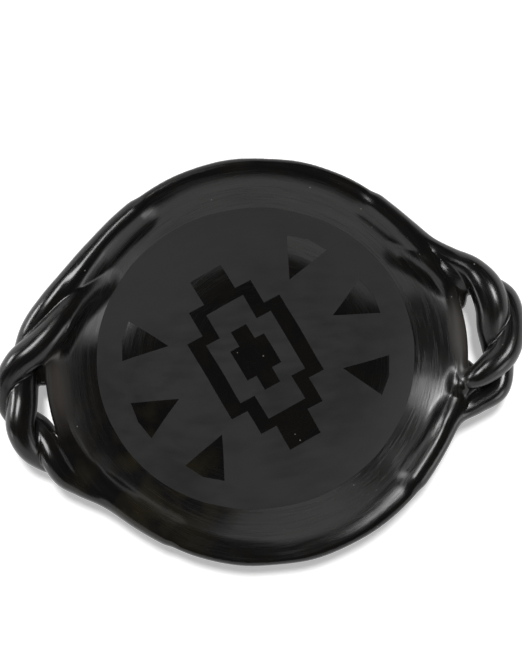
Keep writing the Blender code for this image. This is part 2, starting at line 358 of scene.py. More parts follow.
class StudioSizes(bpy.types.PropertyGroup):
    """Camera, floor and lamps."""
    tilt: angle_value("Camera tilt", "Camera's lean from the bowl's axis", 2.2)
    roll: angle_value("Bowl roll", "Turn of the bowl in the picture", 7.7)
    distance: length_value("Camera distance", "Camera to the rim", 1.3)
    pixel: length_value("Pixel size", "Size of a picture pixel at the rim", 0.00055)
    paper: colour_value("Paper", "White paper of the floor", "#f2f2f2")
    cloth: colour_value("Black cloth", "Cloth hung over the set", "#3a3a3a")
    key_lean: angle_value(
        "Key lean", "Key lamp's lean from overhead to the picture's top", 14.0)
    key_angle: angle_value("Key size", "Angle that the key lamp takes up", 6.0)
    key_level: plain_value(
        "Key level", "Key lamp's share of the light on a white floor", 0.75)
    sky_level: plain_value(
        "Sky level", "The room's share of the light on a white floor", 0.25)


def smooth_step(share):
    """0 up to 0, 1 from 1 on, and between them the cubic that runs level into both."""
    share = np.clip(share, 0.0, 1.0)
    return share * share * (3.0 - 2.0 * share)


def smooth_union(first, second, width):
    """Two distances joined: their least, less a rounding where they are nearly equal."""
    near = np.maximum(width - np.abs(first - second), 0.0)
    return np.minimum(first, second) - near * near / (4.0 * width)


def wall_level(across, below, foot, radius, depth, power):
    """Distance out from a superellipse wall, to first order.

    The level is the p-norm of how far the point lies out from the foot and down from
    the rim, as shares of the wall's own reach, less one. It is divided by its slope.
    """
    out = np.maximum(across - foot, 0.0) / (radius - foot)
    down = np.maximum(below, 0.0) / depth
    norm = np.maximum((out ** power + down ** power) ** (1.0 / power), LEAST_DIVISOR)
    slope_out = (out / norm) ** (power - 1.0) / (radius - foot)
    slope_down = (down / norm) ** (power - 1.0) / depth
    slope = np.maximum(np.hypot(slope_out, slope_down), 1.0)
    return (norm - 1.0) / slope


def handle_flare(points):
    """How near a handle is, from 0 to 1, and how far its rim's outside and inside go out."""
    angle = np.degrees(np.arctan2(points[..., 1], points[..., 0]))
    share, outer, inner = np.zeros((3, *angle.shape))
    for middle, flat, end, outer_reach, inner_reach in FLARES:
        away = np.abs((angle - middle + 180.0) % 360.0 - 180.0)
        near = 1.0 - smooth_step((away - flat) / (end - flat))
        share += near
        outer += near * outer_reach * MILLIMETRE
        inner += near * inner_reach * MILLIMETRE
    return share, outer, inner


def bowl_distance(points, bowl):
    """Distance to the body: between two superellipse walls, with a rounded lip.

    Near the rim the inside runs straight up a slope, which the lip's rounding meets.
    Behind a handle the rim flares outward, and its inside more, to a thinner edge.
    """
    share, outer_flare, inner_flare = handle_flare(points)
    across = np.hypot(points[..., 0], points[..., 1])
    below = bowl.height - points[..., 2]
    radius = bowl.radius - bowl.margin + outer_flare
    wall_radius = radius - (bowl.lip - bowl.wall)
    shoulder_share = (1.0 - (bowl.shoulder / bowl.height) ** bowl.fullness) ** (
        1.0 / bowl.fullness)
    widest = bowl.foot + (radius - bowl.foot) / shoulder_share
    lip_edge = (points[..., 2] - RIM_LOW.z) / (bowl.height - bowl.shoulder - RIM_LOW.z)
    outer_radius = wall_radius + (widest - wall_radius) * smooth_step(lip_edge)
    outside = wall_level(across, below, bowl.foot, outer_radius, bowl.height, bowl.fullness)
    inside = wall_level(across, below, bowl.foot - bowl.wall,
                        bowl.radius - bowl.lip + inner_flare, bowl.height - bowl.floor,
                        bowl.fullness)
    line = bowl.radius - bowl.lip_line + inner_flare
    slope = ((across - line) * math.sin(bowl.lip_slope) + below * math.cos(bowl.lip_slope))
    inner = smooth_union(-inside, -slope, bowl.lip_blend)
    turn = bowl.lip_round + (bowl.flare_round - bowl.lip_round) * share
    side = np.maximum(outside, inner) + turn
    top = turn - below
    corner = np.hypot(np.maximum(side, 0.0), np.maximum(top, 0.0))
    return corner + np.minimum(np.maximum(side, top), 0.0) - turn


def unevenness(points):
    """Shallow dents of a hand-built wall: the sum of its three waves multiplied in pairs."""
    waves = np.sin(2.0 * math.pi * points @ np.transpose(DENT_WAVES) + DENT_PHASES)
    pairs = (waves * np.roll(waves, -1, axis=-1)).sum(-1)
    return pairs * smooth_step(points[..., 2] / DENT_FADE)


def strand_line(side, knots, bowl):
    """A strand's middle line and radius, about a millimetre from sample to sample.

    Between knots each value follows the cubic that keeps the slope worked out at the
    knots from their neighbours, against the length of the chords.
    """
    knots = np.array(knots)
    turn = np.radians(knots[:, 0])
    across = bowl.radius + knots[:, 1] * MILLIMETRE
    values = np.column_stack([
        side * across * np.cos(turn), across * np.sin(turn),
        bowl.height + knots[:, 2] * MILLIMETRE, knots[:, 3] * MILLIMETRE])
    chords = np.linalg.norm(np.diff(values[:, :3], axis=0), axis=1)
    length = np.concatenate([[0.0], np.cumsum(chords)])
    slope = np.gradient(values, length, axis=0)
    stops = np.linspace(0.0, length[-1], max(32, int(length[-1] / MILLIMETRE)))
    index = np.clip(np.searchsorted(length, stops) - 1, 0, len(chords) - 1)
    chord = chords[index][:, None]
    share = (stops - length[index])[:, None] / chord
    rest = 1.0 - share
    line = (rest ** 2 * (1.0 + 2.0 * share) * values[index]
            + share ** 2 * (1.0 + 2.0 * rest) * values[index + 1]
            + share * rest * chord * (rest * slope[index] - share * slope[index + 1]))
    return line[:, :3], line[:, 3]


def strand_distance(points, line, radii, reach=0.012):
    """Distance to a strand, exact within a reach, and the place along it, in samples.

    The nearest sample is found coarsely and then finely, and the least of the parabola
    through it and its neighbours gives the distance between samples.
    """
    stride = 8
    coarse = line[stride::stride][:-1]
    squares = (coarse ** 2).sum(1)[None, :] - 2.0 * points @ coarse.T
    middle = (squares.argmin(1) + 1) * stride
    rough = np.linalg.norm(points - line[middle], axis=1) - stride * MILLIMETRE
    distance = rough - radii.max()
    place = middle.astype(float)
    near = distance < reach
    points, middle = points[near], middle[near]
    best = np.full(len(points), np.inf)
    index = middle.copy()
    for offset in range(-stride, stride + 1):
        candidate = np.clip(middle + offset, 1, len(line) - 2)
        square = ((points - line[candidate]) ** 2).sum(1)
        nearer = square < best
        best[nearer] = square[nearer]
        index[nearer] = candidate[nearer]
    before = ((points - line[index - 1]) ** 2).sum(1)
    after = ((points - line[index + 1]) ** 2).sum(1)
    bend = np.maximum(before - 2.0 * best + after, 1e-12)
    shift = np.clip(0.5 * (before - after) / bend, -1.0, 1.0)
    square = best + 0.5 * (after - before) * shift + 0.5 * bend * shift * shift
    place[near] = index + shift
    radius = np.interp(place[near], np.arange(len(radii)), radii)
    distance[near] = np.sqrt(np.maximum(square, 0.0)) - radius
    return distance, place


@functools.lru_cache
def strand_lines():
    """Every strand's line and radii, by name."""
    bowl = bpy.context.scene.bowl_sizes
    return {name: strand_line(side, knots, bowl) for name, (side, knots) in STRANDS.items()}


@functools.lru_cache
def swell_lines():
    """Line and radii of each fill of clay in a corner beside a strand."""
    bowl = bpy.context.scene.bowl_sizes
    return [strand_line(side, knots, bowl) for side, knots in LIP_SWELLS]


def near_line(points, line, reach):
    """Whether points lie in a line's box, grown by a reach."""
    return np.all((points > line.min(0) - reach) & (points < line.max(0) + reach), axis=1)


def distances(points):
    """Distance to the body and to each strand, one row each. Far strands read as far."""
    ropes = bpy.context.scene.rope_sizes
    rows = np.full((1 + len(STRANDS), len(points)), FAR)
    rows[0] = bowl_distance(points, bpy.context.scene.bowl_sizes)
    for line, radii in swell_lines():
        near = near_line(points, line, radii.max() + 1.5 * ropes.swell)
        if near.any():
            swell = strand_distance(points[near], line, radii)[0]
            rows[0, near] = smooth_union(rows[0, near], swell, ropes.swell)
    for row, (line, radii) in enumerate(strand_lines().values(), start=1):
        near = near_line(points, line, radii.max() + 1.5 * ropes.smear)
        if near.any():
            rows[row, near] = strand_distance(points[near], line, radii)[0]
    return rows


def clay_level(rows, points):
    """Signed distance to the skin: strands pressed together, then smeared on the body.

    The smear narrows from the inside of the lip to just outside it.
    """
    scene = bpy.context.scene
    ropes, bowl = scene.rope_sizes, scene.bowl_sizes
    right = smooth_union(rows[1], rows[2], ropes.press)
    left = smooth_union(rows[3], rows[4], ropes.press)
    across = np.hypot(points[..., 0], points[..., 1])
    outside = smooth_step((across - (bowl.radius - bowl.lip)) / (1.5 * bowl.lip))
    smear = ropes.smear + (ropes.seat - ropes.smear) * outside
    level = smooth_union(rows[0], np.minimum(right, left), smear)
    return level + bowl.unevenness * unevenness(points)


def level_at(points):
    """Signed distance to the skin, with its strands and dents."""
    return clay_level(distances(points), points)


def slope_at(points):
    """Gradient of the skin's level, by central differences."""
    slope = np.empty_like(points)
    for axis in range(3):
        step = np.zeros(3)
        step[axis] = NUDGE
        slope[:, axis] = (level_at(points + step) - level_at(points - step)) / (2.0 * NUDGE)
    return slope


def onto_skin(points, rounds=3):
    """Newton's steps along the gradient to the zero surface."""
    for _ in range(rounds):
        slope = slope_at(points)
        square = np.maximum((slope ** 2).sum(1), LEAST_DIVISOR)
        move = -(level_at(points) / square)[:, None] * slope
        length = np.linalg.norm(move, axis=1)[:, None]
        points = points + move * np.minimum(1.0, MILLIMETRE / np.maximum(length, 1e-9))
    return points


def unit(vectors):
    """Vectors divided by their lengths."""
    return vectors / np.maximum(np.linalg.norm(vectors, axis=1), 1e-12)[:, None]


def clay_labels(rows, points, level):
    """0 for air, then 1 for the dish, 2 to 5 for the coils and rim, and on for strands."""
    bowl = bpy.context.scene.bowl_sizes
    across = np.hypot(points[:, 0], points[:, 1])
    foot = bowl.foot - bowl.wall / 2.0
    wall_radius = bowl.radius - (bowl.lip + bowl.wall) / 2.0
    out = np.maximum(across - foot, 0.0) / (wall_radius - foot)
    down = np.maximum(bowl.height - points[:, 2], 0.0) / (bowl.height - bowl.floor / 2.0)
    angle = np.arctan2(out ** (bowl.fullness / 2.0), down ** (bowl.fullness / 2.0))
    outer = bowl.radius - (bowl.lip - bowl.wall)
    shares = (np.array(JOINT_RADII) - bowl.foot) / (outer - bowl.foot)
    joints = np.arcsin(np.clip(shares, 0.0, 1.0) ** (bowl.fullness / 2.0))
    body = 1 + np.searchsorted(joints, angle)
    biased = rows.copy()
    biased[0] -= MILLIMETRE
    nearest = biased.argmin(0)
    labels = np.where(nearest == 0, body, len(JOINT_RADII) + 1 + nearest)
    return np.where(level > 0.0, 0, labels).astype(np.uint8)


def clay_grid(low, counts, fine):
    """The skin's level and the label at each corner of the cells, a slab at a time.

    Away from the skin the level is only the sign of the body's distance.
    """
    axes = [low[axis] + fine * np.arange(counts[axis]) for axis in range(3)]
    level = np.full(counts, FAR)
    label = np.zeros(counts, np.uint8)
    for start in range(0, counts[0], SLAB):
        part = slice(start, start + SLAB)
        grid = np.stack(np.meshgrid(axes[0][part], axes[1], axes[2], indexing="ij"), axis=-1)
        points = grid.reshape(-1, 3)
        rough = bowl_distance(points, bpy.context.scene.bowl_sizes)
        band = np.abs(rough) < 3.0 * fine
        for line, radii in strand_lines().values():
            band |= near_line(points, line, radii.max() + 2.0 * fine)
        rows = np.full((1 + len(STRANDS), len(points)), FAR)
        rows[0] = rough
        rows[:, band] = distances(points[band])
        found = np.where(band, clay_level(rows, points), np.where(rough > 0.0, FAR, -FAR))
        level[part] = found.reshape(grid.shape[:3])
        label[part] = clay_labels(rows, points, found).reshape(grid.shape[:3])
    return level, label


def cell_places(cells, level, label):
    """Each cell's place, in cells, and whether the skin crosses it.

    The place is the mean of where the skin crosses the cell's edges. In a cell that only
    joint walls cross, it is the mean of the middles of the edges that they cross.
    """
    totals = np.zeros((2, len(cells), 3))
    counts = np.zeros((2, len(cells)))
    for first in CELL_CORNERS:
        for axis in range(3):
            if first[axis] == 1:
                continue
            second = list(first)
            second[axis] = 1
            a = tuple((cells + first).T)
            b = tuple((cells + second).T)
            differs = label[a] != label[b]
            skin = differs & ((label[a] == 0) | (label[b] == 0))
            spot = cells + np.array(first, float)
            spot[:, axis] += np.where(
                skin, level[a] / np.where(skin, level[a] - level[b], 1.0), 0.5)
            for kind, crossed in enumerate((skin, differs & ~skin)):
                totals[kind] += spot * crossed[:, None]
                counts[kind] += crossed
    means = totals / np.maximum(counts, 1.0)[..., None]
    on_skin = counts[0] > 0
    return np.where(on_skin[:, None], means[0], means[1]), on_skin


def merged_cells(cells, places, on_skin, shape):
    """Eight cells as one vertex away from the ropes, and a vertex for each cell near them.

    Gives each cell's vertex, the vertices' places and whether they are on the skin.
    """
    smear = bpy.context.scene.rope_sizes.smear
    near_rope = np.zeros(len(cells), bool)
    for line, radii in strand_lines().values():
        index = np.flatnonzero(near_line(places, line, 3.0 * smear))
        gap = strand_distance(places[index], line, radii)[0]
        near_rope[index[gap < smear]] = True
    parent = cells // 2
    keys = (parent[:, 0] * shape[1] + parent[:, 1]) * shape[2] + parent[:, 2]
    alone = np.isin(keys, keys[near_rope])
    keys = np.where(alone, -1 - np.arange(len(cells)), keys)
    vertex = np.unique(keys, return_inverse=True)[1]
    size = vertex.max() + 1
    skin_count = np.bincount(vertex, on_skin, size)
    weight = np.where(skin_count[vertex] > 0, on_skin, True).astype(float)
    total = np.column_stack([np.bincount(vertex, places[:, axis] * weight, size)
                             for axis in range(3)])
    return vertex, total / np.bincount(vertex, weight, size)[:, None], skin_count > 0


def net_faces(label, vertex_of):
    """A face for each cell edge whose ends differ, between its four cells.

    Gives the faces' vertices and the labels at the two ends of their edges.
    """
    quads, sides = [], []
    for axis in range(3):
        head = [slice(1, -1)] * 3
        head[axis] = slice(0, -1)
        tail = list(head)
        tail[axis] = slice(1, None)
        first, second = label[tuple(head)], label[tuple(tail)]
        where = np.argwhere(first != second)
        sides.append(np.column_stack([first[tuple(where.T)], second[tuple(where.T)]]))
        ring = []
        for across, up in ((0, 0), (1, 0), (1, 1), (0, 1)):
            cell = where.copy()
            cell[:, (axis + 1) % 3] += across
            cell[:, (axis + 2) % 3] += up
            ring.append(vertex_of[tuple(cell.T)])
        quads.append(np.column_stack(ring))
    return np.vstack(quads), np.vstack(sides)


@functools.lru_cache
def clay_skin():
    """The whole skin as surface nets: vertices, normals, faces and the labels beside them.

    Space is cut into cells. A cell whose corners differ gets one vertex, and each cell
    edge whose ends differ gets a face between its four cells, so that neighbouring
    pieces share their border exactly.
    """
    fine = CELL
    pad = 4 * fine
    low = np.array(CAD_LOW) - pad
    counts = np.ceil((np.array(CAD_HIGH) + pad - low) / fine).astype(int) // 2 * 2 + 3
    level, label = clay_grid(low, counts, fine)
    corner = label[:-1, :-1, :-1]
    differs = np.zeros(corner.shape, bool)
    for i, j, k in CELL_CORNERS[1:]:
        differs |= corner != label[i:counts[0] - 1 + i, j:counts[1] - 1 + j, k:counts[2] - 1 + k]
    cells = np.argwhere(differs)
    places, on_skin = cell_places(cells, level, label)
    vertex, vertices, on_skin = merged_cells(cells, low + fine * places, on_skin, corner.shape)
    vertex_of = np.full(corner.shape, -1, np.int64)
    vertex_of[tuple(cells.T)] = vertex
    vertices[on_skin] = onto_skin(vertices[on_skin])
    normals = np.zeros_like(vertices)
    normals[on_skin] = unit(slope_at(vertices[on_skin]))
    return vertices, normals, *net_faces(label, vertex_of)


def without_folds(faces):
    """Faces as quads and triangles, without those that merging the cells folded up."""
    step = faces == np.roll(faces, -1, axis=1)
    cross = (faces[:, 0] == faces[:, 2]) | (faces[:, 1] == faces[:, 3])
    repeats = step.sum(1)
    whole = faces[(repeats == 0) & ~cross]
    short = (repeats == 1) & ~cross
    return whole, faces[short][~step[short]].reshape(-1, 3)


def piece_faces(quads, sides, label, hidden):
    """A label's faces, turned to face out of it: its skin, or its hidden joint walls."""
    ahead = (sides[:, 0] == label) & ((sides[:, 1] > 0) == hidden)
    behind = (sides[:, 1] == label) & ((sides[:, 0] > 0) == hidden)
    return without_folds(np.vstack([quads[ahead], quads[behind][:, ::-1]]))


def open_edges(groups, count):
    """Directed edges of some faces that no other of them runs along the other way."""
    starts = np.concatenate([faces.ravel() for faces in groups])
    ends = np.concatenate([np.roll(faces, -1, axis=1).ravel() for faces in groups])
    alone = ~np.isin(starts * count + ends, ends * count + starts)
    return np.column_stack([starts[alone], ends[alone]])


def clay_piece(name, node, label):
    """One closed piece of the skin, with the skin's own normals at its vertices.

    Its joint walls have vertices of their own, set a little under the skin, and a
    narrow strip along the seam joins them to it.
    """
    vertices, normals, quads, sides = clay_skin()
    count = len(vertices)
    skin = piece_faces(quads, sides, label, False)
    walls = piece_faces(quads, sides, label, True)
    seam = open_edges(skin, count)
    strip = np.column_stack([seam[:, 1], seam[:, 0], seam[:, 0] + count, seam[:, 1] + count])
    groups = [skin[0], skin[1], walls[0] + count, walls[1] + count, strip]
    used = np.unique(np.concatenate([faces.ravel() for faces in groups]))
    renumber = np.zeros(2 * count, np.int64)
    renumber[used] = np.arange(len(used))
    sunk = vertices - SEAM_DEPTH * normals
    places = np.vstack([vertices, sunk])[used]
    mesh = bpy.data.meshes.new(name)
    faces = [face for group in groups for face in renumber[group].tolist()]
    mesh.from_pydata(places.tolist(), [], faces)
    mesh.shade_smooth()
    own = np.empty(len(used) * 3)
    mesh.vertices.foreach_get("normal", own)
    given = np.vstack([normals, normals])[used]
    blank = (np.linalg.norm(given, axis=1) < 0.5) | (used >= count)
    given[blank] = own.reshape(-1, 3)[blank]
    mesh.normals_split_custom_set_from_vertices(given.tolist())
    item = bpy.data.objects.new(name, mesh)
    bpy.context.scene.collection.objects.link(item)
    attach(item, "root")
    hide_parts(node)
    return item


def strand_coordinates(mesh, line, radii):
    """Stores each vertex's place in its strand: along it, then across it to the side and up.

    The side is square to the strand and level, and up is square to both.
    """
    points = np.empty(len(mesh.vertices) * 3)
    mesh.vertices.foreach_get("co", points)
    points = points.reshape(-1, 3)
    place = strand_distance(points, line, radii, reach=1.0)[1]
    samples = np.arange(len(line))
    middle = np.column_stack([np.interp(place, samples, line[:, axis]) for axis in range(3)])
    heading = np.gradient(line, axis=0)
    heading = unit(np.column_stack([np.interp(place, samples, heading[:, axis])
                                    for axis in range(3)]))
    side = unit(np.cross(heading, [0.0, 0.0, 1.0]))
    up = np.cross(side, heading)
    away = points - middle
    along = place * np.linalg.norm(line[1] - line[0])
    stored = np.column_stack([along, (away * side).sum(1), (away * up).sum(1)])
    attribute = mesh.attributes.new("strand", "FLOAT_VECTOR", "POINT")
    attribute.data.foreach_set("vector", stored.ravel())


def ring_outline(radius, step):
    """Points of a circle, evenly spaced."""
    count = int(2.0 * math.pi * radius / step)
    turn = 2.0 * math.pi * np.arange(count) / count
    return radius * np.column_stack([np.cos(turn), np.sin(turn)])


def stepped_outline(widths, heights):
    """A stepped diamond: each step has a half width and the height at which it ends."""
    quarter = [(widths[0], 0.0)]
    for index, (width, height) in enumerate(zip(widths, heights)):
        quarter.append((width, height))
        if index + 1 < len(widths):
            quarter.append((widths[index + 1], height))
    quarter = np.array(quarter[1:]) * MILLIMETRE
    half = np.vstack([quarter, quarter[::-1] * (-1.0, 1.0)])
    return np.vstack([half, half * -1.0])


def fine_outline(corners, step):
    """A closed outline with points added along its sides."""
    parts = []
    for start, end in zip(corners, np.roll(corners, -1, axis=0)):
        count = max(1, int(np.linalg.norm(end - start) / step))
        parts.append(start + (end - start) * (np.arange(count) / count)[:, None])
    return np.vstack(parts)


def inside_outline(points, outline):
    """Whether points lie inside an outline, by counting the sides to their right."""
    x, y = points[:, 0][:, None], points[:, 1][:, None]
    ax, ay = outline[:, 0][None, :], outline[:, 1][None, :]
    bx, by = np.roll(outline[:, 0], -1)[None, :], np.roll(outline[:, 1], -1)[None, :]
    spans = (ay > y) != (by > y)
    crossing = ax + (y - ay) * (bx - ax) / np.where(spans, by - ay, 1.0)
    return (spans & (crossing > x)).sum(1) % 2 == 1


def painting_outlines(painting):
    """Edges of the disc, the diamonds and the darts: clay inside an odd number is painted."""
    step = painting.grid / 2.0
    outlines = [ring_outline(painting.radius, step)]
    for widths, heights in PAINTED_STEPS:
        outlines.append(fine_outline(stepped_outline(widths, heights), step))
    dart = np.array([(DART_BACK, -DART_HALF_WIDTH), (DART_BACK + DART_BULGE, 0.0),
                     (DART_BACK, DART_HALF_WIDTH), (DART_TIP, 0.0)]) * MILLIMETRE
    for turn in np.radians(DART_TURNS):
        turned = np.column_stack([dart[:, 0] * math.cos(turn) - dart[:, 1] * math.sin(turn),
                                  dart[:, 0] * math.sin(turn) + dart[:, 1] * math.cos(turn)])
        outlines.append(fine_outline(turned, step))
    return outlines


def brushed(points, painting):
    """Points turned with the painting and shifted by the wobble of the brush."""
    x, y = points.T / MILLIMETRE
    shift = np.column_stack([
        np.sin(a / short + 2.0 * np.sin(b / long)) + np.sin(b / other + phase)
        for a, b, (short, long, other, phase) in zip((x, y), (y, x), BRUSH_WAVES)])
    x, y = (points + 0.5 * painting.wobble * shift).T
    turn = painting.turn
    return np.array(painting.middle) + np.column_stack([
        x * math.cos(turn) - y * math.sin(turn),
        painting.squash * (x * math.sin(turn) + y * math.cos(turn))])


def painted_faces(painting):
    """Points and triangles of the painted clay in the flat.

    The outlines and a grid of inner points are joined into triangles, and those inside
    an odd number of outlines are kept.
    """
    outlines = painting_outlines(painting)
    edges, start = [], 0
    for outline in outlines:
        index = start + np.arange(len(outline))
        edges.append(np.column_stack([index, np.roll(index, -1)]))
        start += len(outline)
    border = np.vstack(outlines)
    reach = np.arange(-painting.radius, painting.radius, painting.grid)
    grid = np.stack(np.meshgrid(reach, reach), axis=-1).reshape(-1, 2)
    grid = grid[np.hypot(*grid.T) < painting.radius]
    gaps = np.concatenate([np.linalg.norm(part[:, None] - border, axis=-1).min(1)
                           for part in np.array_split(grid, 40)])
    flat = np.vstack([border, grid[gaps > EDGE_ROOM * painting.grid]])
    joined = geometry.delaunay_2d_cdt(
        [Vector(point) for point in flat.tolist()], np.vstack(edges).tolist(), [], 0, 1e-7)
    flat = np.array([tuple(point) for point in joined[0]])
    faces = np.array(joined[2])
    middles = flat[faces].mean(axis=1)
    layers = sum(inside_outline(middles, outline).astype(int) for outline in outlines)
    used, faces = np.unique(faces[layers % 2 == 1], return_inverse=True)
    return flat[used], faces.reshape(-1, 3)


def laid_down(places):
    """Points let straight down onto the skin, from the superellipse of the inside."""
    bowl = bpy.context.scene.bowl_sizes
    foot = bowl.foot - bowl.wall
    rim = bowl.radius - bowl.lip
    across = np.minimum(np.hypot(*places.T), rim - MILLIMETRE)
    share = np.maximum(across - foot, 0.0) / (rim - foot)
    drop = (1.0 - share ** bowl.fullness) ** (1.0 / bowl.fullness)
    skin = np.column_stack([places, bowl.height - (bowl.height - bowl.floor) * drop])
    up = np.array([0.0, 0.0, NUDGE])
    for _ in range(LAYING_ROUNDS):
        rise = (level_at(skin + up) - level_at(skin - up)) / (2.0 * NUDGE)
        step = level_at(skin) / np.maximum(rise, LEAST_RISE)
        skin[:, 2] -= np.clip(step, -LAYING_STEP, LAYING_STEP)
    return skin


def slip_film(name, painting):
    """The painting as a closed film of slip, laid on the skin and thickened both ways.

    Its two sides carry the skin's normals, and the narrow walls round its edges their own.
    """
    flat, faces = painted_faces(painting)
    skin = laid_down(brushed(flat, painting))
    normals = unit(slope_at(skin))
    count = len(skin)
    places = np.vstack([skin + painting.film * normals, skin - 0.5 * painting.film * normals])
    rim = open_edges([faces], count)
    walls = np.column_stack([rim[:, 1], rim[:, 0], rim[:, 0] + count, rim[:, 1] + count])
    mesh = bpy.data.meshes.new(name)
    mesh.from_pydata(places.tolist(), [],
                     faces.tolist() + (faces[:, ::-1] + count).tolist() + walls.tolist())
    mesh.shade_flat()
    smooth = np.zeros(len(mesh.polygons), bool)
    smooth[:2 * len(faces)] = True
    mesh.polygons.foreach_set("use_smooth", smooth)
    given = np.vstack([normals, -normals])
    corners = np.empty(len(mesh.loops), np.int32)
    mesh.loops.foreach_get("vertex_index", corners)
    split = given[corners]
    wall_corners = np.arange(len(mesh.loops)) >= 6 * len(faces)
    flat_normals = np.empty(len(mesh.polygons) * 3)
    mesh.polygons.foreach_get("normal", flat_normals)
    flat_normals = flat_normals.reshape(-1, 3)[2 * len(faces):]
    split[wall_corners] = np.repeat(flat_normals, 4, axis=0)
    mesh.normals_split_custom_set(split.tolist())
    item = bpy.data.objects.new(name, mesh)
    bpy.context.scene.collection.objects.link(item)
    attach(item, "root")
    return item


def add_node(tree, kind, inputs=(), output=None, **settings):
    """Adds a node with its settings and links. Gives the named output, or else the node.

    The inputs are by name or number, or a list in the node's own order. Each is a value,
    or a socket to link.
    """
    node = tree.nodes.new(kind)
    for name, value in settings.items():
        setattr(node, name, value)
    for name, value in inputs.items() if isinstance(inputs, dict) else enumerate(inputs):
        if isinstance(value, bpy.types.NodeSocket):
            tree.links.new(value, node.inputs[name])
        else:
            node.inputs[name].default_value = value
    return node if output is None else node.outputs[output]


def new_material(name):
    """A material with its node tree and its shader."""
    material = bpy.data.materials.new(name)
    material.use_nodes = True
    tree = material.node_tree
    return material, tree, tree.nodes["Principled BSDF"]


def round_the_bowl(tree, places):
    """Coordinates that run slowly round the bowl's axis and at full speed across the wall."""
    flat = add_node(tree, "ShaderNodeVectorMath", [places, (1.0, 1.0, 0.0)], "Vector",
                    operation="MULTIPLY")
    heading = add_node(tree, "ShaderNodeVectorMath", [flat], "Vector", operation="NORMALIZE")
    slow = add_node(tree, "ShaderNodeVectorMath", {0: heading, "Scale": ROUND_THE_BOWL},
                    "Vector", operation="SCALE")
    across = add_node(tree, "ShaderNodeVectorMath", [flat], "Value", operation="LENGTH")
    up = add_node(tree, "ShaderNodeSeparateXYZ", [places], "Z")
    fast = add_node(tree, "ShaderNodeMath", [across, up], "Value", operation="ADD")
    tall = add_node(tree, "ShaderNodeCombineXYZ", {"Z": fast}, "Vector")
    return add_node(tree, "ShaderNodeVectorMath", [slow, tall], "Vector", operation="ADD")


def lighter_rim_behind_handles(tree, places):
    """How far the rim behind each handle is painted a lighter brown-grey and made rougher: most
    in its middle.
    """
    reaches = []
    for side in (1.0, -1.0):
        mirrored = add_node(tree, "ShaderNodeVectorMath", [places, (side, 1.0, 1.0)], "Vector",
                            operation="MULTIPLY")
        gap = add_node(tree, "ShaderNodeVectorMath", [mirrored, LIGHTER_RIM_MIDDLE], "Vector",
                       operation="SUBTRACT")
        drawn_in = add_node(tree, "ShaderNodeVectorMath", [gap, LIGHTER_RIM_SHAPE], "Vector",
                            operation="MULTIPLY")
        reaches.append(add_node(tree, "ShaderNodeVectorMath", [drawn_in], "Value",
                                operation="LENGTH"))
    least = add_node(tree, "ShaderNodeMath", reaches, "Value", operation="MINIMUM")
    return add_node(tree, "ShaderNodeMapRange", [least, *LIGHTER_RIM_FADE], "Result")


